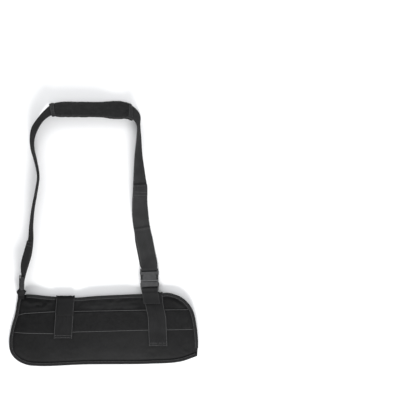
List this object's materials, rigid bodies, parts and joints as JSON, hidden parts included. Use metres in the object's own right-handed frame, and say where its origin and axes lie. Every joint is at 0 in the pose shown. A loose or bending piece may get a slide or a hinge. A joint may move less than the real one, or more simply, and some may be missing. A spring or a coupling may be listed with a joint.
{
  "type": "arm sling with padded shoulder strap",
  "caption": "Padded forearm pouch with closure tabs, hung from one webbing strap with a shoulder pad, a side-release buckle and an adjuster.",
  "frame": {"origin": "on the table under the middle of the pouch, on the flat outer face of its back panel", "axes": "+X along the pouch from the adjuster's corner to the buckle's side, +Y from the pouch up to the shoulder pad, +Z off the table out of the pouch's front"},
  "size_m": [0.4594, 0.644, 0.0468],
  "materials": {
    "padded_fabric": "charcoal brushed knit laminated to thin foam",
    "loop_pile": "dark brushed loop pile",
    "binding_tape": "woven binding tape with a stitched edge",
    "webbing": "woven polypropylene webbing",
    "pad_cloth": "soft knitted pad cover",
    "buckle_plastic": "moulded dark grey plastic with a soft gloss"
  },
  "bodies": {
    "root": {"back_panel": "padded_fabric", "front_panel": "padded_fabric", "seam_binding": "binding_tape", "back_rim_binding": "binding_tape", "front_rim_binding": "binding_tape", "loop_band": "loop_pile", "left_tab": "webbing", "left_tab_webbing": "webbing", "right_tab": "webbing", "right_webbing": "webbing", "buckle_male": "buckle_plastic", "buckle_female": "buckle_plastic", "shoulder_strap": "webbing", "shoulder_pad": "pad_cloth", "pad_hem_left": "pad_cloth", "pad_hem_right": "pad_cloth", "ladder_lock": "buckle_plastic", "corner_loop": "webbing"}
  },
  "joints": []
}
